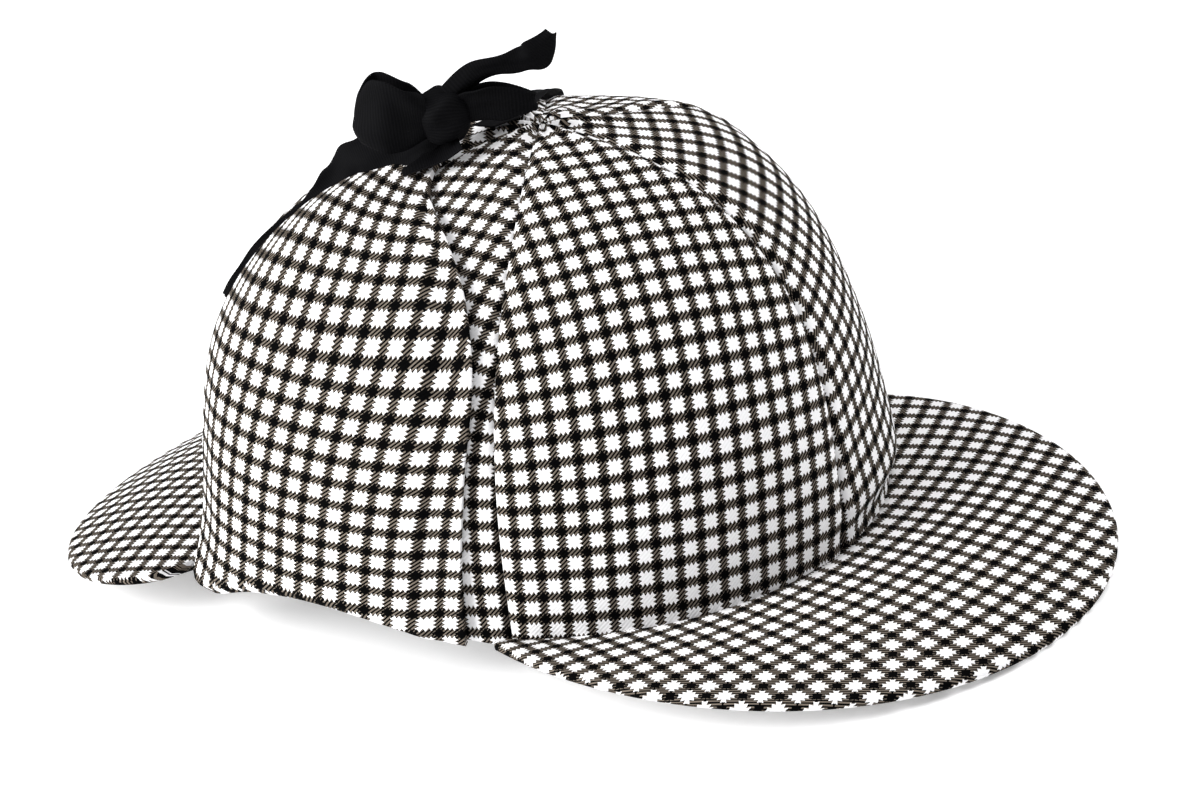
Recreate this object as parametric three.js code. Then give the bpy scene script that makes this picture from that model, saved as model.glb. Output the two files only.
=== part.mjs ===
// A deerstalker hat: six sewn gores, a front and a rear peak, two ear flaps folded up over the
// sides, and a ribbon that ties the flaps in a bow on the crown. Millimetres, +Z up. The front is
// +X, the wearer's right is -Y. Turns round the hat are in degrees from the front, towards -Y.
import * as THREE from "three";

// The head opening and the crown above it.
const RIM_HALF_LENGTH = 104;
const RIM_HALF_WIDTH = 93.4;
const CROWN_HEIGHT = 117.3;
const CROWN_PLAN_POWER = 1.94;
const CROWN_HEIGHT_POWER = 3.6;
// The soft crown has slumped: how far its top has moved forward and to the left, and how late in
// the climb it does so.
const SLUMP = { forward: 7.5, left: 5.9, power: 2.8 };
// Shallow dents and swellings of the crown: where each lies, how far it spreads round and up, and
// how far it stands out of the even dome, inward when it is negative.
const CROWN_FORM = [
  { name: "sunk right rear shoulder", turn: 128, climb: 0.67, spread: 46, tall: 0.18, out: -6 },
  { name: "sunk left front wall", turn: -52, climb: 0.42, spread: 38, tall: 0.2, out: -4 },
  { name: "full left shoulder", turn: -62, climb: 0.68, spread: 40, tall: 0.12, out: 4.5 },
  { name: "sunk left top", turn: -110, climb: 0.85, spread: 40, tall: 0.1, out: -2 },
  { name: "flare over the front peak", turn: -22, climb: 0.06, spread: 22, tall: 0.1, out: 3.5 },
];
// The sewn rim itself keeps its oval: the dents and swellings start between these two climbs.
const FORM_START = { none: 0.03, full: 0.08 };
// The rim rises in a low arch over each ear.
const RIM_ARCH = { turn: 95, rise: 9.5, spread: 20 };
// The gores and the turns of the two seams of each: the front ones are a little the widest.
const GORES = [
  { name: "gore_front_right", start: 0, end: 62.5 },
  { name: "gore_side_right", start: 62.5, end: 121 },
  { name: "gore_rear_right", start: 121, end: 180 },
  { name: "gore_rear_left", start: 180, end: 239 },
  { name: "gore_side_left", start: 239, end: 297.5 },
  { name: "gore_front_left", start: 297.5, end: 360 },
];
const CLOTH_WALL = 2;
const SEWN_GAP = 0.3;
const TIP_RADIUS = 2.5;

// The peaks: how far round they reach, how deep they are and how they droop in the middle and at
// each end. They have been bent a little unevenly in use.
const PEAK_WALL = 3;
const PEAK_GAP = 0.6;
const FRONT_PEAK = {
  middle: 0, reach: 66, depth: 74, fullness: 0.94, cup: 3, droop: 3.2, rightDroop: -11, leftDroop: -8,
};
const REAR_PEAK = {
  middle: 180, reach: 53, depth: 62, fullness: 0.25, cup: 3, droop: 18, rightDroop: 4, leftDroop: -2,
};

// How the whole hat sits on a table: tipped nose-down on the edges of its two peaks.
const REST_TIP = THREE.MathUtils.degToRad(2.52);

// The ear flap's outline on the side of the crown. climb is the share of the way from the rim to
// the top, front and rear are the turns of its two edges, stand is how far the rear edge stands off.
const FLAP_OUTLINE = [
  { climb: 0.0, front: 69.5, rear: 126, stand: 12 },
  { climb: 0.07, front: 69, rear: 126, stand: 6 },
  { climb: 0.14, front: 68.5, rear: 126.5, stand: 3 },
  { climb: 0.28, front: 67, rear: 128, stand: 1.5 },
  { climb: 0.42, front: 66, rear: 131, stand: 1.2 },
  { climb: 0.54, front: 69.5, rear: 134, stand: 1.5 },
  { climb: 0.63, front: 77, rear: 137, stand: 2 },
  { climb: 0.7, front: 88, rear: 139, stand: 2 },
  { climb: 0.76, front: 103, rear: 138, stand: 2 },
  { climb: 0.8, front: 114, rear: 132, stand: 2 },
  { climb: 0.82, front: 118, rear: 125, stand: 2 },
];
// The left flap is pulled up less far: its height as a share of the right one's.
const LEFT_FLAP_HEIGHT = 0.73;
const FLAP_GAP = 0.6;
const FLAP_PUFF = 2.5;
// The rear corner of the hem hangs below the rim: how far, and from how far back it starts.
const FLAP_CORNER = { drop: 6, from: 0.65 };

// The ribbon, bunched up along most of its length, and its bow.
const RIBBON_WIDTH = 22;
const RIBBON_WALL = 1;
const BOW_TURN = 111;
const BOW_CLIMB = 0.85;
const BOW_LIFT = 15;
const KNOT_RADII = { along: 7.5, across: 6.5, up: 9 };

const CLOTH_COLOUR = 0x8f8d8b;
const RIBBON_COLOUR = 0x121214;

const radians = THREE.MathUtils.degToRad;

function signedPower(value, power) {
  return Math.sign(value) * Math.abs(value) ** power;
}

// The crown's profile as evenly spaced steps of length: share 0 is the rim and 1 is the top.
function makeProfile(steps) {
  const rows = [];
  let length = 0;
  for (let step = 0; step <= steps; step += 1) {
    const angle = (step / steps) * (Math.PI / 2);
    const reach = Math.cos(angle) ** (2 / CROWN_PLAN_POWER);
    const height = CROWN_HEIGHT * Math.sin(angle) ** (2 / CROWN_HEIGHT_POWER);
    const last = rows.at(-1);
    if (last) {
      length += Math.hypot((reach - last.reach) * RIM_HALF_LENGTH, height - last.height);
    }
    rows.push({ reach, height, length });
  }
  return rows;
}

const PROFILE = makeProfile(2000);
const CLOTH_CLIMB = PROFILE.at(-1).length;

function profileAt(share) {
  const target = THREE.MathUtils.clamp(share, 0, 1) * CLOTH_CLIMB;
  let low = 0;
  let high = PROFILE.length - 1;
  while (high - low > 1) {
    const middle = (low + high) >> 1;
    if (PROFILE[middle].length <= target) low = middle;
    else high = middle;
  }
  const a = PROFILE[low];
  const b = PROFILE[high];
  const mix = (target - a.length) / Math.max(b.length - a.length, 1e-9);
  return { reach: a.reach + (b.reach - a.reach) * mix, height: a.height + (b.height - a.height) * mix };
}

function rimRise(turn) {
  const fromFront = Math.abs(((turn + 540) % 360) - 180);
  return RIM_ARCH.rise * Math.exp(-(((fromFront - RIM_ARCH.turn) / RIM_ARCH.spread) ** 2));
}

// How far the crown stands out of the even dome at one place.
function formAt(turn, share) {
  let out = 0;
  for (const form of CROWN_FORM) {
    const round = ((turn - form.turn + 540) % 360) - 180;
    out += form.out * Math.exp(-((round / form.spread) ** 2) - ((share - form.climb) / form.tall) ** 2);
  }
  return out * THREE.MathUtils.smoothstep(share, FORM_START.none, FORM_START.full);
}

// A point on the outside of the crown, or straight below its rim where share is negative.
function crownPoint(turn, share) {
  const { reach, height } = profileAt(share);
  const lean = (height / CROWN_HEIGHT) ** SLUMP.power;
  const swell = formAt(turn, share);
  const wall = reach ** 2;
  const along = Math.cos(radians(turn));
  const aside = -Math.sin(radians(turn));
  return new THREE.Vector3(
    along * (RIM_HALF_LENGTH * reach + swell * wall) + SLUMP.forward * lean,
    aside * (RIM_HALF_WIDTH * reach + swell * wall) + SLUMP.left * lean,
    height + swell * (1 - wall) + Math.min(share, 0) * CLOTH_CLIMB,
  );
}

// The outward direction of any surface at(u, v), from its neighbours.
function outward(at, u, v, inside) {
  const step = 0.004;
  const across = at(u + step, v).sub(at(u - step, v));
  const climb = at(u, Math.min(v + step, 1)).sub(at(u, v - step));
  const normal = across.cross(climb).normalize();
  const away = at(u, v).sub(inside);
  return normal.dot(away) < 0 ? normal.negate() : normal;
}

const CROWN_CORE = new THREE.Vector3(SLUMP.forward / 2, 0, CROWN_HEIGHT * 0.35);

function offCrown(turn, share, lift) {
  const at = (u, v) => crownPoint(u * 60, v);
  const normal = outward(at, turn / 60, share, CROWN_CORE);
  return crownPoint(turn, share).addScaledVector(normal, lift);
}

// A closed body between two grids of points: skins(u, v) gives its two faces at each place, with
// u from -1 to 1 across and v from 0 to 1 along.
function sheetBody(skins, acrossSteps, alongSteps) {
  const positions = [];
  const index = [];
  const row = acrossSteps + 1;
  const layer = row * (alongSteps + 1);
  const sides = [[], []];
  for (let j = 0; j <= alongSteps; j += 1) {
    for (let i = 0; i <= acrossSteps; i += 1) {
      const pair = skins((2 * i) / acrossSteps - 1, j / alongSteps);
      sides[0].push(...pair[0].toArray());
      sides[1].push(...pair[1].toArray());
    }
  }
  positions.push(...sides[0], ...sides[1]);
  const quad = (a, b, c, d) => index.push(a, b, c, a, c, d);
  for (let j = 0; j < alongSteps; j += 1) {
    for (let i = 0; i < acrossSteps; i += 1) {
      const a = j * row + i;
      quad(a, a + row, a + row + 1, a + 1);
      quad(layer + a, layer + a + 1, layer + a + row + 1, layer + a + row);
    }
  }
  for (let i = 0; i < acrossSteps; i += 1) {
    const top = alongSteps * row + i;
    quad(i, i + 1, layer + i + 1, layer + i);
    quad(top + 1, top, layer + top, layer + top + 1);
  }
  for (let j = 0; j < alongSteps; j += 1) {
    const left = j * row;
    const right = left + acrossSteps;
    quad(left + row, left, layer + left, layer + left + row);
    quad(right, right + row, layer + right + row, layer + right);
  }
  const geometry = new THREE.BufferGeometry();
  geometry.setAttribute("position", new THREE.Float32BufferAttribute(positions, 3));
  geometry.setIndex(index);
  return facingOut(geometry);
}

function signedVolume(geometry) {
  const place = geometry.getAttribute("position");
  const corner = [new THREE.Vector3(), new THREE.Vector3(), new THREE.Vector3()];
  let volume = 0;
  for (let face = 0; face < geometry.index.count; face += 3) {
    corner.forEach((point, k) => point.fromBufferAttribute(place, geometry.index.getX(face + k)));
    volume += corner[0].dot(corner[1].clone().cross(corner[2])) / 6;
  }
  return volume;
}

function facingOut(geometry) {
  if (signedVolume(geometry) < 0) {
    geometry.setIndex(Array.from(geometry.index.array).reverse());
  }
  return geometry;
}

// One gore: a strip of the crown from the rim to a narrow tip, with half a gap at each seam.
function goreBody({ start, end }) {
  const half = (end - start) / 2;
  const middle = (start + end) / 2;
  const tipShare = 1 - TIP_RADIUS / CLOTH_CLIMB;
  const trim = (share) => {
    const radius = Math.max(profileAt(share).reach * RIM_HALF_WIDTH, TIP_RADIUS);
    return THREE.MathUtils.radToDeg(SEWN_GAP / 2 / radius) * 1.6;
  };
  const skins = (u, v) => {
    const rim = rimRise(middle + u * half) / CLOTH_CLIMB;
    const share = rim + v * (tipShare - rim);
    const turn = middle + u * (half - trim(share));
    return [offCrown(turn, share, -CLOTH_WALL), crownPoint(turn, share)];
  };
  return sheetBody(skins, 10, 18);
}

// A peak: a crescent sewn round one end of the rim. round runs along it and out from rim to edge.
function peakPoint(peak, round, out) {
  const turn = peak.middle + round * peak.reach;
  const x = RIM_HALF_LENGTH * Math.cos(radians(turn));
  const y = -RIM_HALF_WIDTH * Math.sin(radians(turn));
  const normal = new THREE.Vector2(x / RIM_HALF_LENGTH ** 2, y / RIM_HALF_WIDTH ** 2).normalize();
  const depth = peak.depth * Math.cos(round * (Math.PI / 2)) ** peak.fullness * out;
  const endDroop = y < 0 ? peak.rightDroop : peak.leftDroop;
  const droop = radians(peak.droop + (endDroop - peak.droop) * round * round);
  const level = PEAK_GAP + depth * Math.cos(droop);
  const crown = peak.cup * Math.sin(out * Math.PI) * (1 - round * round);
  return new THREE.Vector3(
    x + normal.x * level,
    y + normal.y * level,
    crown - depth * Math.sin(droop),
  );
}

function peakBody(peak) {
  const skins = (u, v) => {
    const middle = peakPoint(peak, u * 0.965, v);
    const upper = middle.clone().setZ(middle.z + PEAK_WALL * 0.8);
    return [middle.setZ(middle.z - PEAK_WALL * 0.2), upper];
  };
  return sheetBody(skins, 44, 7);
}

// An ear flap, folded up from the rim and lying over the side of the crown.
function flapRow(climb) {
  const last = FLAP_OUTLINE.length - 2;
  const found = FLAP_OUTLINE.findIndex((row, k) => k > last || climb <= FLAP_OUTLINE[k + 1].climb);
  const low = FLAP_OUTLINE[Math.min(found, last)];
  const high = FLAP_OUTLINE[Math.min(found, last) + 1];
  const mix = (climb - low.climb) / (high.climb - low.climb);
  const blend = (name) => low[name] + (high[name] - low[name]) * mix;
  return { front: blend("front"), rear: blend("rear"), stand: blend("stand") };
}

function flapPoint(side, u, v, extra) {
  const back = (u + 1) / 2;
  const foot = FLAP_OUTLINE[0];
  const hang = FLAP_CORNER.drop * THREE.MathUtils.smoothstep(back, FLAP_CORNER.from, 1);
  const hem = (rimRise(foot.front + (foot.rear - foot.front) * back) - hang) / CLOTH_CLIMB;
  const height = side > 0 ? 1 : LEFT_FLAP_HEIGHT;
  const climb = hem + v * (FLAP_OUTLINE.at(-1).climb * height - hem);
  const { front, rear, stand } = flapRow(Math.max(climb / height, 0));
  const puff = FLAP_PUFF * (1 - u * u) * Math.sin(Math.PI * Math.min(v + 0.15, 1));
  const lift = FLAP_GAP + stand * back ** 1.5 + puff;
  return offCrown(side * (front + (rear - front) * back), climb, lift + extra);
}

// side is 1 for the right flap and -1 for the left one.
function flapBody(side) {
  const skins = (u, v) => [flapPoint(side, u, v, 0), flapPoint(side, u, v, CLOTH_WALL)];
  return sheetBody(skins, 14, 20);
}

// The bow stands in the upright plane through its knot: along points forward and to the left.
const KNOT = offCrown(BOW_TURN, BOW_CLIMB, BOW_LIFT);
const BOW_ALONG = new THREE.Vector3(0.766, 0.643, 0);
const BOW_OUT = new THREE.Vector3(0.643, -0.766, 0);

function fromKnot(along, up, out) {
  return KNOT.clone()
    .addScaledVector(BOW_ALONG, along)
    .addScaledVector(BOW_OUT, out)
    .add(new THREE.Vector3(0, 0, up));
}

// A stretch of ribbon: a smooth path of centres, and which way its width lies at each.
function ribbonBody(centres, sides, halfWidth, steps) {
  const path = new THREE.CatmullRomCurve3(centres);
  const side = new THREE.CatmullRomCurve3(sides);
  const skins = (u, v) => {
    const centre = path.getPoint(v);
    const across = side.getPoint(v).normalize();
    const up = across.clone().cross(path.getTangent(v)).normalize();
    const place = centre.addScaledVector(across, u * halfWidth);
    return [
      place.clone().addScaledVector(up, -RIBBON_WALL / 2),
      place.clone().addScaledVector(up, RIBBON_WALL / 2),
    ];
  };
  return sheetBody(skins, 4, steps);
}

function knotBody() {
  const geometry = new THREE.SphereGeometry(1, 12, 8);
  geometry.scale(KNOT_RADII.along, KNOT_RADII.across, KNOT_RADII.up);
  geometry.rotateZ(Math.atan2(BOW_ALONG.y, BOW_ALONG.x));
  geometry.translate(KNOT.x, KNOT.y, KNOT.z);
  return geometry;
}

// A flat loop of the bow: out along one strand and back along another behind it.
function loopBody(way, reach, rise, halfWidth) {
  const start = KNOT_RADII.along + SEWN_GAP;
  const centres = [
    fromKnot(way * start, 0, 1.5),
    fromKnot(way * (start + reach * 0.45), rise * 0.6, 3.5),
    fromKnot(way * (start + reach * 0.85), rise, 3.5),
    fromKnot(way * (start + reach), rise, 0),
    fromKnot(way * (start + reach * 0.85), rise, -3.5),
    fromKnot(way * (start + reach * 0.45), rise * 0.6, -3.5),
    fromKnot(way * start, 0, -1.5),
  ];
  const upright = BOW_OUT.clone().multiplyScalar(0.25).add(new THREE.Vector3(0, 0, 1));
  return ribbonBody(centres, centres.map(() => upright.clone()), halfWidth, 22);
}

function towards(from, to) {
  return to.clone().sub(from).normalize();
}

// A stretch of ribbon that lies on the crown or on a flap, from rows of turn, climb and lift.
function laidRibbonBody(rows, halfWidth, steps) {
  const centres = rows.map((row) => offCrown(row.turn, row.climb, row.lift));
  const sides = centres.map((centre, k) => {
    const ahead = towards(centres[Math.max(k - 1, 0)], centres[Math.min(k + 1, centres.length - 1)]);
    const away = towards(CROWN_CORE, centre);
    return ahead.cross(away).normalize();
  });
  return ribbonBody(centres, sides, halfWidth, steps);
}

function standingTailBody() {
  const centres = [
    fromKnot(5, KNOT_RADII.up + 0.4, 0),
    fromKnot(10.5, 12, 0.5),
    fromKnot(17, 13.4, 0),
    fromKnot(24, 13.8, -0.5),
    fromKnot(28.5, 15.4, 0),
    fromKnot(33, 21, 0),
  ];
  const sides = [
    new THREE.Vector3(0.2, -0.9, 0.4),
    new THREE.Vector3(0.1, -0.8, 0.5),
    new THREE.Vector3(-0.1, -0.7, 0.7),
    new THREE.Vector3(-0.2, -0.7, 0.7),
    new THREE.Vector3(-0.2, -0.7, 0.6),
    new THREE.Vector3(-0.2, -0.8, 0.5),
  ];
  return ribbonBody(centres, sides, RIBBON_WIDTH * 0.23, 16);
}

const LYING_TAIL = [
  { turn: 130, climb: 0.85, lift: 7 },
  { turn: 134, climb: 0.79, lift: 6.6 },
  { turn: 138, climb: 0.72, lift: 6.6 },
  { turn: 141, climb: 0.66, lift: 6.4 },
  { turn: 141, climb: 0.59, lift: 6 },
  { turn: 139, climb: 0.5, lift: 5.5 },
  { turn: 137, climb: 0.42, lift: 5.5 },
];

const LEFT_TIE = [
  { turn: 130, climb: 0.91, lift: 4 },
  { turn: 165, climb: 0.945, lift: 2.5 },
  { turn: 200, climb: 0.93, lift: 2.2 },
  { turn: 222, climb: 0.87, lift: 2.2 },
  { turn: 234, climb: 0.78, lift: 2.5 },
  { turn: 239, climb: 0.69, lift: 3.5 },
  { turn: 240, climb: 0.62, lift: 6 },
  { turn: 240, climb: 0.57, lift: 6.8 },
];

const RIGHT_TIE = [
  { turn: 112, climb: 0.85, lift: 4.2 },
  { turn: 114, climb: 0.825, lift: 5.6 },
  { turn: 116, climb: 0.8, lift: 6.4 },
  { turn: 118, climb: 0.77, lift: 7.2 },
];

function clothMaterial() {
  return new THREE.MeshStandardMaterial({ color: CLOTH_COLOUR, roughness: 0.95, metalness: 0 });
}

function ribbonMaterial() {
  return new THREE.MeshStandardMaterial({ color: RIBBON_COLOUR, roughness: 0.6, metalness: 0 });
}

const bodies = [
  ...GORES.map((gore) => [gore.name, goreBody(gore), clothMaterial()]),
  ["front_peak", peakBody(FRONT_PEAK), clothMaterial()],
  ["rear_peak", peakBody(REAR_PEAK), clothMaterial()],
  ["ear_flap_right", flapBody(1), clothMaterial()],
  ["ear_flap_left", flapBody(-1), clothMaterial()],
  ["bow_knot", knotBody(), ribbonMaterial()],
  ["bow_loop_rear", loopBody(-1, 18, 3.5, RIBBON_WIDTH * 0.38), ribbonMaterial()],
  ["bow_loop_front", loopBody(1, 18, 2.5, RIBBON_WIDTH * 0.2), ribbonMaterial()],
  ["ribbon_tail_standing", standingTailBody(), ribbonMaterial()],
  ["ribbon_tail_lying", laidRibbonBody(LYING_TAIL, RIBBON_WIDTH * 0.25, 18), ribbonMaterial()],
  ["ribbon_tie_left", laidRibbonBody(LEFT_TIE, RIBBON_WIDTH * 0.16, 16), ribbonMaterial()],
  ["ribbon_tie_right", laidRibbonBody(RIGHT_TIE, RIBBON_WIDTH * 0.16, 6), ribbonMaterial()],
];

// Tip the hat onto its peaks, then put the origin under the middle of its box.
const box = new THREE.Box3();
for (const [, geometry] of bodies) {
  geometry.rotateY(REST_TIP);
  geometry.computeBoundingBox();
  box.union(geometry.boundingBox);
}
const hat = new THREE.Group();
for (const [name, geometry, material] of bodies) {
  geometry.translate(-(box.min.x + box.max.x) / 2, -(box.min.y + box.max.y) / 2, -box.min.z);
  const mesh = new THREE.Mesh(geometry, material);
  mesh.name = name;
  hat.add(mesh);
}

export default hat;
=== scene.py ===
# %% [markdown]
# # A deerstalker hat
# The hat is six cloth gores sewn into a crown, a peak at the front and the back, two ear flaps
# folded up over the sides, and a black ribbon that ties the flaps in a bow on top. This lesson
# builds each piece as a sheet of cloth that knows its own weave, then lights and frames the hat.

# %% Load the frame
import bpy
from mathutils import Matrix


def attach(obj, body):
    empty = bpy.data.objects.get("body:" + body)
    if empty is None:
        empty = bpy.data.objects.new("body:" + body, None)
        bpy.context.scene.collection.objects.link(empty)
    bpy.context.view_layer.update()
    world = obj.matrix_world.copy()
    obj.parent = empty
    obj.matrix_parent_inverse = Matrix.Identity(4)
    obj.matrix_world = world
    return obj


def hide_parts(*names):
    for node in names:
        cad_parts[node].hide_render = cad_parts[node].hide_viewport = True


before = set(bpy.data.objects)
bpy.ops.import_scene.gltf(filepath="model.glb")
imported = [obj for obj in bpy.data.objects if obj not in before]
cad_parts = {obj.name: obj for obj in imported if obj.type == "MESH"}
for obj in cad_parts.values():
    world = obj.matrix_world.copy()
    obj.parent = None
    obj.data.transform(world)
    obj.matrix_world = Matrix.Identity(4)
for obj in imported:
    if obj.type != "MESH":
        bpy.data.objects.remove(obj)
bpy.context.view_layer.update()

import math

import bmesh
import bpy
from mathutils import Matrix, Vector, noise

# %% Sizes, in metres
MM = 0.001
RIM_HALF_LENGTH = 104 * MM
RIM_HALF_WIDTH = 93.4 * MM
CROWN_HEIGHT = 117.3 * MM
PLAN_POWER = 1.94
HEIGHT_POWER = 3.6
SLUMP_FORWARD = 7.5 * MM
SLUMP_LEFT = 5.9 * MM
SLUMP_POWER = 2.8
CLOTH_WALL = 1.6 * MM
PEAK_WALL = 3 * MM
REST_TIP = math.radians(2.52)
# The rim rises in a low arch over each ear: where, how high, and how far round it spreads.
ARCH_TURN = 95
ARCH_RISE = 9.5 * MM
ARCH_SPREAD = 20

# %% [markdown]
# ## Where the hat sits
# The shapes below are worked out with the rim level and the middle of the head opening at the
# origin. The hat rests on the edges of its two peaks, tipped a little nose-down, so one matrix
# carries every piece, and the camera too, to where it sits on the table.

# %% The seat on the table
SEAT = Matrix.Translation((-6.98 * MM, -0.08 * MM, 12.574 * MM)) @ Matrix.Rotation(REST_TIP, 4, "Y")

# %% [markdown]
# ## The camera
# The camera looks down at the hat's right front corner through a long lens, which keeps the two
# peaks close to the same scale. It is rolled a few degrees, so the crown leans to the left.

# %% Place the camera
VIEW_TURN = math.radians(40.18)
VIEW_RISE = math.radians(22.57)
VIEW_ROLL = math.radians(-7.35)
VIEW_DISTANCE = 0.91965
LENS_MM = 93.6
AIM_HEIGHT = 60 * MM
AIM_RIGHT = 20.5 * MM
AIM_DOWN = 26.3 * MM

back = Vector((
    math.sin(VIEW_TURN) * math.cos(VIEW_RISE),
    -math.cos(VIEW_TURN) * math.cos(VIEW_RISE),
    math.sin(VIEW_RISE),
))
right = Vector((math.cos(VIEW_TURN), math.sin(VIEW_TURN), 0))
up = back.cross(right)
rolled = Matrix.Rotation(VIEW_ROLL, 3, back)
right, up = rolled @ right, rolled @ up
eye = Vector((0, 0, AIM_HEIGHT)) + back * VIEW_DISTANCE
aim = Vector((0, 0, AIM_HEIGHT)) + right * AIM_RIGHT - up * AIM_DOWN
back = (eye - aim).normalized()
right = (right - back * right.dot(back)).normalized()
up = back.cross(right)
pose = Matrix((right, up, back)).transposed().to_4x4()
pose.translation = eye
camera_data = bpy.data.cameras.new("camera")
camera_data.lens = LENS_MM
camera_data.sensor_width = 36
camera = bpy.data.objects.new("camera", camera_data)
bpy.context.collection.objects.link(camera)
camera.matrix_world = SEAT @ pose
bpy.context.scene.camera = camera
print("the camera stands at", tuple(round(x, 3) for x in camera.matrix_world.translation))

# %% [markdown]
# ## The crown's shape
# Seen from above the crown is an oval, and from the side it is a dome with steep walls. A table
# of evenly spaced steps up the dome's profile lets every piece measure its way from the rim to
# the top in real lengths of cloth.

# %% The profile from the rim to the top
profile = []
length = 0.0
for step in range(2001):
    angle = step / 2000 * math.pi / 2
    reach = math.cos(angle) ** (2 / PLAN_POWER) if step < 2000 else 0.0
    height = CROWN_HEIGHT * math.sin(angle) ** (2 / HEIGHT_POWER)
    if profile:
        length += math.hypot((reach - profile[-1][0]) * RIM_HALF_LENGTH, height - profile[-1][1])
    profile.append((reach, height, length))
CLIMB = profile[-1][2]
print("cloth from rim to top, mm", round(CLIMB / MM, 1))


def profile_at(share):
    target = max(0.0, min(1.0, share)) * CLIMB
    low, high = 0, len(profile) - 1
    while high - low > 1:
        middle = (low + high) // 2
        if profile[middle][2] <= target:
            low = middle
        else:
            high = middle
    a, b = profile[low], profile[high]
    mix = (target - a[2]) / max(b[2] - a[2], 1e-12)
    return a[0] + (b[0] - a[0]) * mix, a[1] + (b[1] - a[1]) * mix


# %% [markdown]
# The soft crown has slumped. Its top leans forward and to the left, and a few shallow dents and
# swellings, each a smooth hill placed by its turn round the hat and its climb, break the dome.

# %% The slumped crown
CROWN_FORM = [
    {"name": "sunk right rear shoulder", "turn": 128, "climb": 0.67, "spread": 46, "tall": 0.18, "out": -6},
    {"name": "sunk left front wall", "turn": -52, "climb": 0.42, "spread": 38, "tall": 0.2, "out": -4},
    {"name": "full left shoulder", "turn": -62, "climb": 0.68, "spread": 40, "tall": 0.12, "out": 4.5},
    {"name": "sunk left top", "turn": -110, "climb": 0.85, "spread": 40, "tall": 0.1, "out": -2},
    {"name": "flare over the front peak", "turn": -22, "climb": 0.06, "spread": 22, "tall": 0.1,
     "out": 3.5},
]
FORM_START = (0.03, 0.08)


def smooth(value, low, high):
    t = max(0.0, min(1.0, (value - low) / (high - low)))
    return t * t * (3 - 2 * t)


def bell(value, middle, width):
    return math.exp(-((value - middle) / width) ** 2)


def rim_rise(turn):
    """How high the rim stands in its low arch over the ear."""
    return ARCH_RISE * bell(abs((turn + 540) % 360 - 180), ARCH_TURN, ARCH_SPREAD)


def form_at(turn, share):
    out = 0.0
    for form in CROWN_FORM:
        round_ = (turn - form["turn"] + 540) % 360 - 180
        out += form["out"] * bell(round_, 0, form["spread"]) * bell(share, form["climb"], form["tall"])
    return out * MM * smooth(share, *FORM_START)


def plain_crown(turn, share):
    """A point on the slumped crown, or straight below its rim where share is negative."""
    reach, height = profile_at(share)
    lean = (height / CROWN_HEIGHT) ** SLUMP_POWER
    swell = form_at(turn, share)
    wall = reach ** 2
    ahead, aside = math.cos(math.radians(turn)), -math.sin(math.radians(turn))
    return Vector((
        ahead * (RIM_HALF_LENGTH * reach + swell * wall) + SLUMP_FORWARD * lean,
        aside * (RIM_HALF_WIDTH * reach + swell * wall) + SLUMP_LEFT * lean,
        height + swell * (1 - wall) + min(share, 0.0) * CLIMB,
    ))


CORE = Vector((SLUMP_FORWARD / 2, 0, CROWN_HEIGHT * 0.35))


def off_crown(turn, share, lift):
    """A point that stands off the crown by lift."""
    around = plain_crown(turn + 0.25, share) - plain_crown(turn - 0.25, share)
    climb = plain_crown(turn, min(share + 0.004, 1)) - plain_crown(turn, share - 0.004)
    normal = around.cross(climb).normalized()
    place = plain_crown(turn, share)
    if normal.dot(place - CORE) < 0:
        normal.negate()
    return place + normal * lift


# %% [markdown]
# ## Soft cloth
# Cloth that has been sewn and handled is never a perfect dome. A seam pulls the cloth in a
# little, the tips of the gores bunch where they meet, and the walls have slow, shallow waves.

# %% Small rises and falls of the crown
SEAMS = [0, 62.5, 121, 180, 239, 297.5, 360]


def crown_lift(turn, share):
    reach, _ = profile_at(share)
    radius = max(reach, 0.02) * 0.5 * (RIM_HALF_LENGTH + RIM_HALF_WIDTH)
    from_seam = min(abs(turn - seam) for seam in SEAMS)
    seam_distance = math.radians(from_seam) * radius
    lift = -0.9 * MM * bell(seam_distance, 0, 2.0 * MM)
    lift += 0.5 * MM * bell(seam_distance, 5 * MM, 4 * MM)
    place = plain_crown(turn, share)
    lift += 1.3 * MM * noise.noise(place * 22 + Vector((3.1, 0.4, 7.7)))
    near_top = math.exp(-reach / 0.16)
    lift += 0.9 * MM * near_top * math.cos(math.radians(turn) * 18 + 1.1) * min(1, reach / 0.05)
    return lift


def crown_point(turn, share):
    return off_crown(turn, share, crown_lift(turn, share))


# %% [markdown]
# ## A sheet that knows its weave
# Every cloth piece starts as a flat grid. One rule bends it to its place, and another says where
# each spot of it lay in the flat cloth, which becomes its UV map.

# %% Make a sheet, give it a wall and finish it
def sheet_mesh(at, cloth, across, along):
    mesh = bmesh.new()
    bmesh.ops.create_grid(mesh, x_segments=across, y_segments=along, size=1.0)
    layer = mesh.loops.layers.uv.new("cloth")
    spots = {vert: (vert.co.x, (vert.co.y + 1) / 2) for vert in mesh.verts}
    for face in mesh.faces:
        for loop in face.loops:
            loop[layer].uv = cloth(*spots[loop.vert])
    for vert, spot in spots.items():
        vert.co = SEAT @ at(*spot)
    bmesh.ops.recalc_face_normals(mesh, faces=mesh.faces)
    return mesh


def face_away_from(mesh, inside):
    inside = SEAT @ inside
    score = sum((f.calc_center_median() - inside).dot(f.normal) * f.calc_area() for f in mesh.faces)
    if score < 0:
        bmesh.ops.reverse_faces(mesh, faces=mesh.faces)


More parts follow.
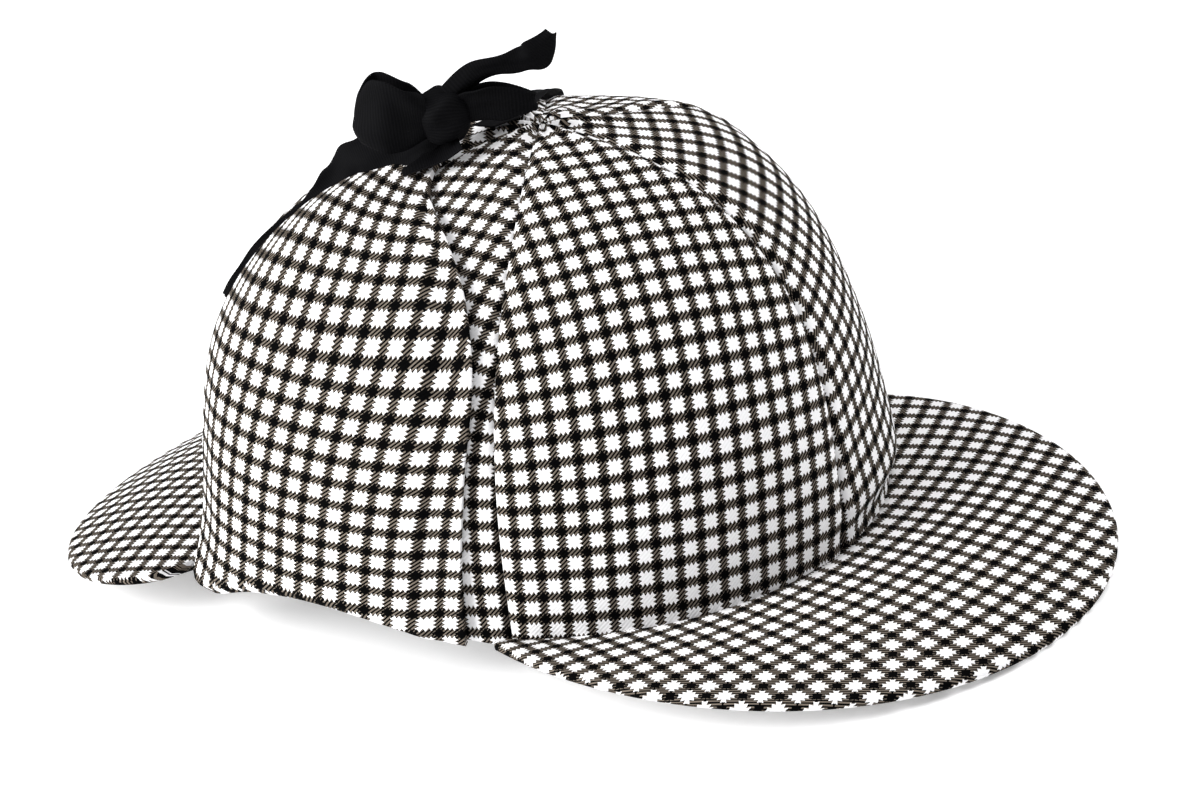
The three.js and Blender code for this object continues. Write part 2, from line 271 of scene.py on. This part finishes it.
def add_wall(mesh, wall, round_edge=0.0, segments=2):
    bmesh.ops.solidify(mesh, geom=mesh.faces[:], thickness=wall)
    if mesh.calc_volume(signed=True) < 0:
        bmesh.ops.reverse_faces(mesh, faces=mesh.faces)
    if round_edge:
        sharp = [e for e in mesh.edges if e.is_manifold and e.calc_face_angle() > 1.0]
        bmesh.ops.bevel(
            mesh, geom=sharp, offset=round_edge, segments=segments, profile=0.5,
            affect="EDGES", material=-1, clamp_overlap=True,
        )


def finish_piece(mesh, name, material, nodes):
    for face in mesh.faces:
        face.smooth = True
    data = bpy.data.meshes.new(name)
    mesh.to_mesh(data)
    triangles = sum(len(f.verts) - 2 for f in mesh.faces)
    mesh.free()
    piece = bpy.data.objects.new(name, data)
    bpy.context.collection.objects.link(piece)
    data.materials.append(material)
    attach(piece, "root")
    if nodes:
        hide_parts(*nodes)
    print(name, "has", triangles, "triangles")
    return piece


# %% [markdown]
# ## The check cloth
# Gingham is woven from white and black threads in equal-width stripes both ways. Where two black
# stripes cross the cloth is solid black, where two white ones cross it is white, and everywhere
# else the twill weave shows both threads as a fine slanting hatch. The node group below counts
# threads both ways and lays the upper one on top, so the hatch and the ragged edges of the
# squares come out by themselves.

# %% Node helpers
CHECK_REPEAT = 6.35 * MM
BLACK_SHARE = 0.42
TWILL_PER_REPEAT = 5


def new_group(name, inputs, outputs):
    group = bpy.data.node_groups.new(name, "ShaderNodeTree")
    for label, kind in inputs:
        group.interface.new_socket(name=label, in_out="INPUT", socket_type=kind)
    for label, kind in outputs:
        group.interface.new_socket(name=label, in_out="OUTPUT", socket_type=kind)
    return group, group.nodes.new("NodeGroupInput"), group.nodes.new("NodeGroupOutput")


def math_node(tree, kind, *values, clamp=False):
    node = tree.nodes.new("ShaderNodeMath")
    node.operation = kind
    node.use_clamp = clamp
    for slot, value in enumerate(values):
        if isinstance(value, (int, float)):
            node.inputs[slot].default_value = value
        else:
            tree.links.new(value, node.inputs[slot])
    return node.outputs[0]


def mix_colours(tree, share, a, b):
    node = tree.nodes.new("ShaderNodeMix")
    node.data_type = "RGBA"
    for value, socket in ((share, node.inputs[0]), (a, node.inputs[6]), (b, node.inputs[7])):
        if isinstance(value, (tuple, float)):
            socket.default_value = value
        else:
            tree.links.new(value, socket)
    return node.outputs[2]


# %% Weave the check
weave, weave_in, weave_out = new_group(
    "gingham weave",
    [("Cloth", "NodeSocketVector"), ("Repeat", "NodeSocketFloat")],
    [("Dark Cross", "NodeSocketFloat"), ("Mixed", "NodeSocketFloat"), ("Hatch", "NodeSocketFloat"),
     ("Height", "NodeSocketFloat")],
)
parts = weave.nodes.new("ShaderNodeSeparateXYZ")
weave.links.new(weave_in.outputs["Cloth"], parts.inputs[0])
along = math_node(weave, "DIVIDE", parts.outputs[0], weave_in.outputs["Repeat"])
across = math_node(weave, "DIVIDE", parts.outputs[1], weave_in.outputs["Repeat"])
twill = TWILL_PER_REPEAT
slant = math_node(weave, "MULTIPLY", math_node(weave, "ADD", along, across), twill)
hatch_wave = math_node(weave, "FRACT", slant)
hatch = math_node(weave, "LESS_THAN", hatch_wave, 0.45)
tooth_u = math_node(weave, "PINGPONG", math_node(weave, "MULTIPLY", across, twill), 0.5)
tooth_v = math_node(weave, "PINGPONG", math_node(weave, "MULTIPLY", along, twill), 0.5)
TOOTH = 0.32
edge_u = math_node(weave, "MULTIPLY", math_node(weave, "SUBTRACT", tooth_u, 0.25), TOOTH)
edge_v = math_node(weave, "MULTIPLY", math_node(weave, "SUBTRACT", tooth_v, 0.25), TOOTH)
stripe_u = math_node(weave, "PINGPONG", along, 0.5)
stripe_v = math_node(weave, "PINGPONG", across, 0.5)
dark_u = math_node(weave, "LESS_THAN", math_node(weave, "ADD", stripe_u, edge_u), BLACK_SHARE / 2)
dark_v = math_node(weave, "LESS_THAN", math_node(weave, "ADD", stripe_v, edge_v), BLACK_SHARE / 2)
both = math_node(weave, "MULTIPLY", dark_u, dark_v)
either = math_node(weave, "SUBTRACT", math_node(weave, "MAXIMUM", dark_u, dark_v), both)
height = math_node(weave, "SINE", math_node(weave, "MULTIPLY", slant, 2 * math.pi))
weave.links.new(both, weave_out.inputs["Dark Cross"])
weave.links.new(either, weave_out.inputs["Mixed"])
weave.links.new(hatch, weave_out.inputs["Hatch"])
weave.links.new(height, weave_out.inputs["Height"])


# %% The check cloth material
WHITE = (0.85, 0.845, 0.85, 1)
BLACK = (0.0012, 0.0012, 0.0013, 1)
HATCH_LIGHT = (0.15, 0.126, 0.102, 1)
HATCH_DARK = (0.003, 0.0028, 0.0028, 1)


def cloth_material(name, hatch_light=HATCH_LIGHT):
    material = bpy.data.materials.new(name)
    material.use_nodes = True
    tree = material.node_tree
    shader = tree.nodes["Principled BSDF"]
    place = tree.nodes.new("ShaderNodeUVMap")
    place.uv_map = "cloth"
    wobble = tree.nodes.new("ShaderNodeTexNoise")
    wobble.inputs["Scale"].default_value = 60
    wobble.inputs["Detail"].default_value = 2
    tree.links.new(place.outputs[0], wobble.inputs["Vector"])
    shift = tree.nodes.new("ShaderNodeVectorMath")
    shift.operation = "MULTIPLY_ADD"
    tree.links.new(wobble.outputs["Color"], shift.inputs[0])
    shift.inputs[1].default_value = (0.4 * MM, 0.4 * MM, 0)
    tree.links.new(place.outputs[0], shift.inputs[2])
    group = tree.nodes.new("ShaderNodeGroup")
    group.node_tree = weave
    group.inputs["Repeat"].default_value = CHECK_REPEAT
    tree.links.new(shift.outputs[0], group.inputs["Cloth"])
    mixed = mix_colours(tree, group.outputs["Hatch"], HATCH_DARK, hatch_light)
    colour = mix_colours(tree, group.outputs["Mixed"], WHITE, mixed)
    colour = mix_colours(tree, group.outputs["Dark Cross"], colour, BLACK)
    tree.links.new(colour, shader.inputs["Base Color"])
    bump = tree.nodes.new("ShaderNodeBump")
    bump.inputs["Strength"].default_value = 0.25
    bump.inputs["Distance"].default_value = 0.15 * MM
    tree.links.new(group.outputs["Height"], bump.inputs["Height"])
    tree.links.new(bump.outputs[0], shader.inputs["Normal"])
    shader.inputs["Roughness"].default_value = 0.92
    shader.inputs["Specular IOR Level"].default_value = 0.02
    return material


check_cloth = cloth_material("check_cloth")
print("woven", check_cloth.name)

# %% [markdown]
# ## The gores
# A gore is a long panel, straight at the rim and drawn in to a point at the top. Each is cut with
# its middle on the straight grain, so along a seam the lines of two gores meet at a slant.

# %% Build the six gores
GORES = [
    {"name": "gore_front_right", "grain": -2.5, "slide": 0.0, "rise": 0.0},
    {"name": "gore_side_right", "grain": 0, "slide": 1.0, "rise": 2.0},
    {"name": "gore_rear_right", "grain": 0, "slide": 2.0, "rise": 1.0},
    {"name": "gore_rear_left", "grain": 0, "slide": 3.0, "rise": 3.0},
    {"name": "gore_side_left", "grain": 0, "slide": 0.5, "rise": 0.0},
    {"name": "gore_front_left", "grain": 9, "slide": 1.5, "rise": 2.5},
]
# The gores are pulled up a little, so their check is longer than it is wide.
GORE_PULL = 1.07
for gore, start, end in zip(GORES, SEAMS, SEAMS[1:]):
    gore["middle"] = (start + end) / 2
    gore["half"] = (end - start) / 2

rim_steps = [0.0]
for degree in range(1, 361):
    rim_steps.append(rim_steps[-1] + (plain_crown(degree, 0) - plain_crown(degree - 1, 0)).length)
print("round the rim, mm", round(rim_steps[-1] / MM))


def around_rim(turn):
    """How far a turn is round the rim from the front, in metres of cloth."""
    size = min(abs(turn), 359.999)
    k = int(size)
    length = rim_steps[k] + (rim_steps[k + 1] - rim_steps[k]) * (size - k)
    return math.copysign(length, turn)


def crown_cloth(turn, share, gore):
    """Where a spot of a gore lay in the flat cloth."""
    reach, _ = profile_at(share)
    nearby, _ = profile_at(min(share + 0.01, 1))
    lean = (reach - nearby) * RIM_HALF_LENGTH / (0.01 * CLIMB)
    aside = (around_rim(turn) - around_rim(gore["middle"])) * max(reach, 0.0)
    radius = max(reach, 0.02) * RIM_HALF_LENGTH
    climb = (share * CLIMB + lean * aside * aside / (2 * radius)) / GORE_PULL
    grain = math.radians(gore["grain"])
    u = aside * math.cos(grain) - climb * math.sin(grain)
    v = aside * math.sin(grain) + climb * math.cos(grain)
    return u + gore["slide"] * MM, v + gore["rise"] * MM


def build_gore(gore):
    def spot(u, v):
        turn = gore["middle"] + gore["half"] * u
        rim = rim_rise(turn) / CLIMB
        return turn, rim + v * (0.996 - rim)

    def at(u, v):
        return crown_point(*spot(u * 0.9998, v))

    def cloth(u, v):
        return crown_cloth(*spot(u, v), gore)

    mesh = sheet_mesh(at, cloth, 44, 84)
    face_away_from(mesh, CORE)
    add_wall(mesh, CLOTH_WALL)
    finish_piece(mesh, gore["name"] + "_cloth", check_cloth, [gore["name"]])


for gore in GORES:
    build_gore(gore)

# %% [markdown]
# ## The peaks
# A peak is a stiff crescent with cloth stretched over both faces and turned round the edge. The
# sheet therefore runs out over the top, round the edge and back underneath in one piece.

# %% Build the peaks
PEAKS = [
    {"name": "front_peak", "middle": 0, "reach": 66, "depth": 74, "fullness": 0.94, "cup": 3,
     "droop": 3.2, "right_droop": -11, "left_droop": -8, "grain": -3},
    {"name": "rear_peak", "middle": 180, "reach": 53, "depth": 62, "fullness": 0.25, "cup": 3,
     "droop": 18, "right_droop": 4, "left_droop": -2, "grain": -4},
]
# Laid flat, a peak is a ring sector that opens less than the rim it is sewn round.
PEAK_OPENING = 0.68
PEAK_CLOTH_RADIUS = 147 * MM


def peak_frame(peak, round_, out):
    t = math.radians(peak["middle"] + round_ * peak["reach"])
    x, y = RIM_HALF_LENGTH * math.cos(t), -RIM_HALF_WIDTH * math.sin(t)
    normal = Vector((x / RIM_HALF_LENGTH ** 2, y / RIM_HALF_WIDTH ** 2)).normalized()
    full = peak["depth"] * MM * max(math.cos(round_ * math.pi / 2), 0.0) ** peak["fullness"]
    end_droop = peak["right_droop"] if y < 0 else peak["left_droop"]
    droop = math.radians(peak["droop"] + (end_droop - peak["droop"]) * round_ * round_)
    depth = full * out
    crown = peak["cup"] * MM * math.sin(max(0.0, min(out, 1.0)) * math.pi) * (1 - round_ * round_)
    level = depth * math.cos(droop)
    place = Vector((x + normal.x * level, y + normal.y * level, crown - depth * math.sin(droop)))
    outward = Vector((normal.x * math.cos(droop), normal.y * math.cos(droop), -math.sin(droop)))
    return place, outward, full


TOP_SHARE = 0.46
EDGE_SHARE = 0.08


def build_peak(peak):
    half = PEAK_WALL / 2

    def section(v):
        """Out over the top, round the edge and back: the share outwards and the roll angle."""
        if v < TOP_SHARE:
            return v / TOP_SHARE, 0.0
        if v < TOP_SHARE + EDGE_SHARE:
            return 1.0, (v - TOP_SHARE) / EDGE_SHARE * math.pi
        return 1 - (v - TOP_SHARE - EDGE_SHARE) / (1 - TOP_SHARE - EDGE_SHARE), math.pi

    def at(u, v):
        out, roll = section(v)
        round_ = u * 0.985
        place, outward, full = peak_frame(peak, round_, out)
        inset = 1 - min(1.0, half / max(full, half))
        place, outward, full = peak_frame(peak, round_, out * inset)
        centre = place + Vector((0, 0, PEAK_WALL * 0.3))
        return centre + outward * half * math.sin(roll) + Vector((0, 0, half * math.cos(roll)))

    def cloth(u, v):
        out, roll = section(v)
        _, _, full = peak_frame(peak, u * 0.985, out)
        opening = math.radians(u * peak["reach"]) * PEAK_OPENING + math.radians(peak["grain"])
        far = PEAK_CLOTH_RADIUS + full * out + half * roll
        return far * math.sin(opening), far * math.cos(opening)

    mesh = sheet_mesh(at, cloth, 120, 50)
    ends = [e for e in mesh.edges if e.is_boundary]
    bmesh.ops.holes_fill(mesh, edges=ends, sides=0)
    bmesh.ops.recalc_face_normals(mesh, faces=mesh.faces)
    if mesh.calc_volume(signed=True) < 0:
        bmesh.ops.reverse_faces(mesh, faces=mesh.faces)
    finish_piece(mesh, peak["name"] + "_cloth", check_cloth, [peak["name"]])


for peak in PEAKS:
    build_peak(peak)

# %% [markdown]
# ## The ear flaps
# A flap is sewn in at the rim and folded up over the side of the crown. It hugs the crown along
# its front edge, then steps out and stands off more and more towards the back.

# %% Build the ear flaps
FLAP_ROWS = [
    {"climb": 0.0, "front": 69.5, "rear": 126, "stand": 8.5},
    {"climb": 0.07, "front": 69, "rear": 126, "stand": 4},
    {"climb": 0.14, "front": 68.5, "rear": 126.5, "stand": 1.5},
    {"climb": 0.28, "front": 67, "rear": 128, "stand": 0},
    {"climb": 0.42, "front": 66, "rear": 131, "stand": 0},
    {"climb": 0.54, "front": 69.5, "rear": 134, "stand": 0.8},
    {"climb": 0.63, "front": 77, "rear": 137, "stand": 1.2},
    {"climb": 0.7, "front": 88, "rear": 139, "stand": 1.5},
    {"climb": 0.76, "front": 103, "rear": 138, "stand": 1.5},
    {"climb": 0.8, "front": 114, "rear": 132, "stand": 1},
    {"climb": 0.82, "front": 118, "rear": 125, "stand": 0.5},
]
# The left flap is pulled up less far: its height as a share of the right one's.
LEFT_FLAP_HEIGHT = 0.73
# The rear corner of the hem hangs below the rim.
CORNER_DROP = 6 * MM
# How far the flap stands off the crown on the way from its front edge to its rear edge, in mm.
FLAP_SECTION = [
    {"back": 0.0, "off": 1.7},
    {"back": 0.07, "off": 1.5},
    {"back": 0.13, "off": 3.8},
    {"back": 0.24, "off": 4.6},
    {"back": 0.5, "off": 6.2},
    {"back": 0.66, "off": 7.2},
    {"back": 0.8, "off": 6.8},
    {"back": 0.9, "off": 5.0},
    {"back": 1.0, "off": 3.5},
]
FLAP_TOP = FLAP_ROWS[-1]["climb"]


def row_at(rows, key, value):
    """A row between two of a table's rows, on a smooth curve through them."""
    names = [name for name in rows[0] if name != key]
    last = len(rows) - 2
    k = next((i for i in range(last + 1) if value <= rows[i + 1][key]), last)
    a, b = rows[k], rows[k + 1]
    before, after = rows[max(k - 1, 0)], rows[min(k + 2, last + 1)]
    span = b[key] - a[key]
    t = (value - a[key]) / span
    found = {}
    for name in names:
        slope_a = (b[name] - before[name]) / max(b[key] - before[key], 1e-9) * span
        slope_b = (after[name] - a[name]) / max(after[key] - a[key], 1e-9) * span
        found[name] = (
            (2 * t ** 3 - 3 * t ** 2 + 1) * a[name] + (t ** 3 - 2 * t ** 2 + t) * slope_a
            + (3 * t ** 2 - 2 * t ** 3) * b[name] + (t ** 3 - t ** 2) * slope_b
        )
    return found


def flap_spot(u, v, height):
    back_share = (u + 1) / 2
    foot = FLAP_ROWS[0]
    hem_turn = foot["front"] + (foot["rear"] - foot["front"]) * back_share
    hem = (rim_rise(hem_turn) - CORNER_DROP * smooth(back_share, 0.65, 1.0)) / CLIMB
    climb = hem + v * (FLAP_TOP * height - hem)
    row = row_at(FLAP_ROWS, "climb", max(climb / height, 0.0))
    turn = row["front"] + (row["rear"] - row["front"]) * back_share
    return turn, climb, row, back_share


def flap_at(side, height, u, v):
    turn, climb, row, back_share = flap_spot(u, v, height)
    off = row_at(FLAP_SECTION, "back", back_share)["off"]
    lift = 0.8 + (off - 0.8) * smooth(FLAP_TOP * height - climb, 0.0, 0.22) + row["stand"] * back_share ** 1.5
    hem_roll = math.sin(min(1.0, v / 0.02) * math.pi / 2)
    lift = 0.4 + (lift - 0.4) * (0.35 + 0.65 * hem_roll)
    place = plain_crown(turn, climb)
    wave = 0.6 * noise.noise(place * 30 + Vector((5.5, 1.2, 3.3))) * smooth(back_share, 0.05, 0.2)
    return off_crown(side * turn, climb, (lift + max(wave, -0.4)) * MM)


def flap_cloth(height, u, v):
    """The flap's check keeps straight: its columns bend less than the crown and its rows sag less."""
    turn, climb, row, _ = flap_spot(u, v, height)
    centre = (row["front"] + row["rear"]) / 2
    reach, _ = profile_at(climb)
    aside = (around_rim(turn) - around_rim(centre)) * reach * 0.9
    sway = 0.15 * climb - 0.7 * max(0.0, climb - 0.35) ** 2
    level = 1.06 * climb - 0.15 * max(0.0, climb - 0.42)
    return aside + sway * CLIMB, level * CLIMB + 0.13 * smooth(climb, 0.3, 0.55) * aside


def path_length(points):
    return sum((b - a).length for a, b in zip(points, points[1:]))


def build_flap(name, side, height):
    mesh = sheet_mesh(
        lambda u, v: flap_at(side, height, u, v), lambda u, v: flap_cloth(height, u, v), 80, 90,
    )
    area = sum(face.calc_area() for face in mesh.faces)
    face_away_from(mesh, CORE)
    add_wall(mesh, -CLOTH_WALL, round_edge=0.6 * MM)
    piece = finish_piece(mesh, name + "_cloth", check_cloth, [name])
    steps = [k / 24 for k in range(25)]
    wide = max(path_length([flap_at(side, height, 2 * a - 1, b) for a in steps]) for b in steps)
    tall = max(path_length([flap_at(side, height, 2 * a - 1, b) for b in steps]) for a in steps)
    print(name, "is cut", round(wide / MM), "x", round(tall / MM), "mm, area", round(area, 5))


build_flap("ear_flap_right", 1, 1.0)
build_flap("ear_flap_left", -1, LEFT_FLAP_HEIGHT)

# %% [markdown]
# ## The ribbon
# The ribbon is thin, soft and black, and it has been tied and handled, so it is creased and its
# edges curl. Each stretch is a strip swept along a smooth line of centres, with its width turned
# at each centre, and crumpled a little. The short ends and loops are stiff enough to
# stand by themselves.

# %% Ribbon finish
ribbon_cloth = bpy.data.materials.new("black_ribbon")
ribbon_cloth.use_nodes = True
ribbon_tree = ribbon_cloth.node_tree
ribbon_shader = ribbon_tree.nodes["Principled BSDF"]
ribbon_place = ribbon_tree.nodes.new("ShaderNodeUVMap")
ribbon_place.uv_map = "cloth"
ribs = ribbon_tree.nodes.new("ShaderNodeTexWave")
ribs.bands_direction = "Y"
ribs.inputs["Scale"].default_value = 420
ribs.inputs["Distortion"].default_value = 1.5
ribbon_tree.links.new(ribbon_place.outputs[0], ribs.inputs["Vector"])
rib_bump = ribbon_tree.nodes.new("ShaderNodeBump")
rib_bump.inputs["Strength"].default_value = 0.35
rib_bump.inputs["Distance"].default_value = 0.1 * MM
ribbon_tree.links.new(ribs.outputs["Fac"], rib_bump.inputs["Height"])
ribbon_tree.links.new(rib_bump.outputs[0], ribbon_shader.inputs["Normal"])
fade = mix_colours(ribbon_tree, ribs.outputs["Fac"], (0.0022, 0.0022, 0.0026, 1), (0.004, 0.004, 0.0046, 1))
ribbon_tree.links.new(fade, ribbon_shader.inputs["Base Color"])
ribbon_shader.inputs["Roughness"].default_value = 0.72
ribbon_shader.inputs["Specular IOR Level"].default_value = 0.03

# %% Ribbon helpers
RIBBON_WALL = 0.5 * MM
KNOT = off_crown(111, 0.85, 15 * MM)
BOW_ALONG = Vector((0.766, 0.643, 0))
BOW_OUT = Vector((0.643, -0.766, 0))
UP = Vector((0, 0, 1))


def from_knot(along, rise, out):
    return KNOT + (BOW_ALONG * along + BOW_OUT * out + Vector((0, 0, rise))) * MM


def between(points, share):
    """A point on the smooth curve through the points."""
    last = len(points) - 1
    spot = max(0.0, min(1.0, share)) * last
    k = min(int(spot), last - 1)
    t = spot - k
    a, b = points[k], points[k + 1]
    before = points[k - 1] if k else a * 2 - b
    after = points[k + 2] if k + 2 <= last else b * 2 - a
    return 0.5 * (
        2 * a + (b - before) * t + (2 * before - 5 * a + 4 * b - after) * t * t
        + (3 * a - before - 3 * b + after) * t ** 3
    )


def ribbon_strip(name, nodes, centres, sides, widths, crumple, curl=0.0, seed=0.0):
    size = [Vector((w, 0, 0)) for w in widths]
    length = sum((b - a).length for a, b in zip(centres, centres[1:]))

    def at(u, v):
        centre = between(centres, v)
        side = between(sides, v).normalized()
        ahead = between(centres, v + 0.01) - between(centres, v - 0.01)
        lift = side.cross(ahead).normalized()
        half = between(size, v).x * MM / 2
        spot = Vector((u * 1.3 + seed, v * length * 90, seed))
        dent = crumple * MM * noise.noise(spot)
        edge = 0.6 * crumple * MM * noise.noise(Vector((v * length * 160, seed + (u > 0), 4.0))) * abs(u) ** 3
        return centre + side * (u * half + edge) + lift * (dent + curl * MM * (u * u - 0.4))

    def cloth(u, v):
        return u * 7 * MM, v * length

    mesh = sheet_mesh(at, cloth, 14, max(24, int(length / (0.7 * MM))))
    area = sum(face.calc_area() for face in mesh.faces)
    add_wall(mesh, RIBBON_WALL, round_edge=0.12 * MM, segments=1)
    piece = finish_piece(mesh, name, ribbon_cloth, nodes)
    print(name, "is", round(length / MM), "mm long, area", round(area * 1e6), "mm2")


# %% The knot
knot_mesh = bmesh.new()
bmesh.ops.create_uvsphere(knot_mesh, u_segments=48, v_segments=32, radius=1.0, calc_uvs=True)
knot_layer = knot_mesh.loops.layers.uv.new("cloth")
knot_turn = Matrix.Rotation(math.atan2(BOW_ALONG.y, BOW_ALONG.x), 3, "Z")
for face in knot_mesh.faces:
    for loop in face.loops:
        spot = loop.vert.co
        loop[knot_layer].uv = (spot.x * 7 * MM, math.atan2(spot.z, spot.y) * 6 * MM)
for vert in knot_mesh.verts:
    spot = vert.co.copy()
    pleat = 1 + 0.07 * math.cos(5 * math.atan2(spot.z, spot.y) + 3 * spot.x) * (1 - spot.x ** 2)
    pleat += 0.12 * noise.noise(spot * 1.7 + Vector((2.0, 7.0, 1.0)))
    waist = 1 + 0.22 * spot.x ** 2
    shaped = Vector((spot.x * 7.8, spot.y * 6.5 * pleat * waist, spot.z * 8.2 * pleat * waist)) * MM
    vert.co = SEAT @ (KNOT + knot_turn @ shaped)
finish_piece(knot_mesh, "bow_knot_ribbon", ribbon_cloth, ["bow_knot"])

# %% The two loops
ribbon_strip(
    "bow_loop_rear_ribbon", ["bow_loop_rear"],
    [from_knot(-4, 0.5, 3), from_knot(-10, 2, 4.5), from_knot(-18, 3.5, 4.5), from_knot(-24, 3, 0),
     from_knot(-18, 3, -4.5), from_knot(-10, 2, -3.5), from_knot(-4, 0.5, -2)],
    [UP, UP + BOW_OUT * 0.2, UP - BOW_OUT * 0.1, UP + BOW_ALONG * 0.15, UP - BOW_OUT * 0.2,
     UP + BOW_OUT * 0.1, UP],
    [10, 18, 22, 14, 21, 17, 10], crumple=2.6, curl=-1.2, seed=3.0,
)
ribbon_strip(
    "bow_loop_front_ribbon", ["bow_loop_front"],
    [from_knot(4, 2, 2), from_knot(10, 3, 3), from_knot(18, 2.5, 2.5), from_knot(26, 1, 0),
     from_knot(18, 2, -2.5), from_knot(10, 2.5, -3), from_knot(4, 1.5, -2)],
    [UP, UP + BOW_OUT * 0.2, UP - BOW_OUT * 0.1, UP, UP - BOW_OUT * 0.2, UP + BOW_OUT * 0.1, UP],
    [8, 10, 10, 5, 9, 9, 8], crumple=1.4, curl=-0.8, seed=9.0,
)

# %% The standing end


def across_bow(degrees, out):
    """The way a ribbon's width lies when its path climbs at an angle along the bow."""
    slope = math.radians(degrees)
    return UP * math.cos(slope) - BOW_ALONG * math.sin(slope) + BOW_OUT * out


ribbon_strip(
    "ribbon_tail_standing_ribbon", ["ribbon_tail_standing"],
    [from_knot(3, 5, 0), from_knot(10.5, 11, 0.5), from_knot(17, 12.6, 0), from_knot(24, 13, -0.5),
     from_knot(28.5, 14.6, 0), from_knot(33, 20.5, 0)],
    [across_bow(41, 0.6), across_bow(30, 0.5), across_bow(12, 0.5), across_bow(12, 0.3),
     across_bow(38, 0.3), across_bow(55, 0.4)],
    [9, 7, 6, 9, 11, 4], crumple=1.8, curl=1.0, seed=17.0,
)


# %% The stretches that lie on the hat
def laid(rows):
    """Centres and width directions from rows of turn, climb, lift in mm and lean off the crown."""
    centres = [off_crown(turn, climb, lift * MM) for turn, climb, lift, _ in rows]
    sides = []
    for k, centre in enumerate(centres):
        ahead = (centres[min(k + 1, len(centres) - 1)] - centres[max(k - 1, 0)]).normalized()
        away = (centre - CORE).normalized()
        lean = math.radians(rows[k][3])
        sides.append(ahead.cross(away).normalized() * math.cos(lean) + away * math.sin(lean))
    return centres, sides


centres, sides = laid([
    (124, 0.855, 8, 20), (133, 0.79, 6, 40), (138, 0.72, 6.5, 60), (141, 0.66, 4.5, 50),
    (140, 0.59, 3.4, 30), (138, 0.5, 3.6, 15), (136, 0.42, 3.6, 0),
])
ribbon_strip(
    "ribbon_tail_lying_ribbon", ["ribbon_tail_lying"], centres, sides,
    [9, 14, 19, 13, 6, 4, 3], crumple=1.8, curl=0.8, seed=23.0,
)
centres, sides = laid([
    (130, 0.91, 4, 0), (165, 0.945, 2.5, 0), (200, 0.93, 2.2, 0), (222, 0.87, 2.2, 0),
    (234, 0.78, 2.5, 0), (239, 0.69, 3, 0), (240, 0.62, 4, 0), (240, 0.57, 5, 0),
])
ribbon_strip(
    "ribbon_tie_left_ribbon", ["ribbon_tie_left"], centres, sides,
    [9, 9, 9, 9, 8, 8, 8, 7], crumple=0.6, seed=31.0,
)
centres, sides = laid([
    (110, 0.855, 8, 0), (114, 0.825, 5.6, 0), (116, 0.8, 5.4, 0), (119, 0.76, 5.4, 0),
])
ribbon_strip(
    "ribbon_tie_right_ribbon", ["ribbon_tie_right"], centres, sides,
    [18, 14, 10, 5], crumple=0.8, seed=37.0,
)

# %% [markdown]
# ## The floor, the light and the finish
# A pale floor and three large soft lights keep the whites bright and the shadows gentle.

# %% Floor and light
floor_mesh = bmesh.new()
bmesh.ops.create_grid(floor_mesh, x_segments=2, y_segments=2, size=4.0)
floor_data = bpy.data.meshes.new("floor")
floor_mesh.to_mesh(floor_data)
floor_mesh.free()
floor = bpy.data.objects.new("floor", floor_data)
bpy.context.collection.objects.link(floor)
floor_paint = bpy.data.materials.new("floor_paint")
floor_paint.use_nodes = True
floor_paint.node_tree.nodes["Principled BSDF"].inputs["Base Color"].default_value = (0.9, 0.9, 0.9, 1)
floor_paint.node_tree.nodes["Principled BSDF"].inputs["Roughness"].default_value = 0.9
floor_paint.node_tree.nodes["Principled BSDF"].inputs["Emission Color"].default_value = (1, 1, 1, 1)
floor_paint.node_tree.nodes["Principled BSDF"].inputs["Emission Strength"].default_value = 0.25
floor_data.materials.append(floor_paint)

world = bpy.data.worlds.new("soft_room")
world.use_nodes = True
world.node_tree.nodes["Background"].inputs["Color"].default_value = (0.95, 0.95, 1, 1)
world.node_tree.nodes["Background"].inputs["Strength"].default_value = 0.3
bpy.context.scene.world = world

LIGHTS = [
    {"name": "key", "place": (-0.7, -1.3, 0.8), "size": 1.2, "watts": 50},
    {"name": "left_front", "place": (0.9, 1.2, 1.1), "size": 1.2, "watts": 21},
    {"name": "top", "place": (0.3, 0.3, 1.7), "size": 1.8, "watts": 14},
]
for light in LIGHTS:
    data = bpy.data.lights.new(light["name"], "AREA")
    data.energy = light["watts"]
    data.size = light["size"]
    lamp = bpy.data.objects.new(light["name"], data)
    bpy.context.collection.objects.link(lamp)
    lamp.location = light["place"]
    way = Vector((0, 0, 0.06)) - lamp.location
    lamp.rotation_euler = way.to_track_quat("-Z", "Y").to_euler()
    print(light["name"], "lights the hat with", light["watts"], "W")

bpy.context.scene.view_settings.view_transform = "Standard"
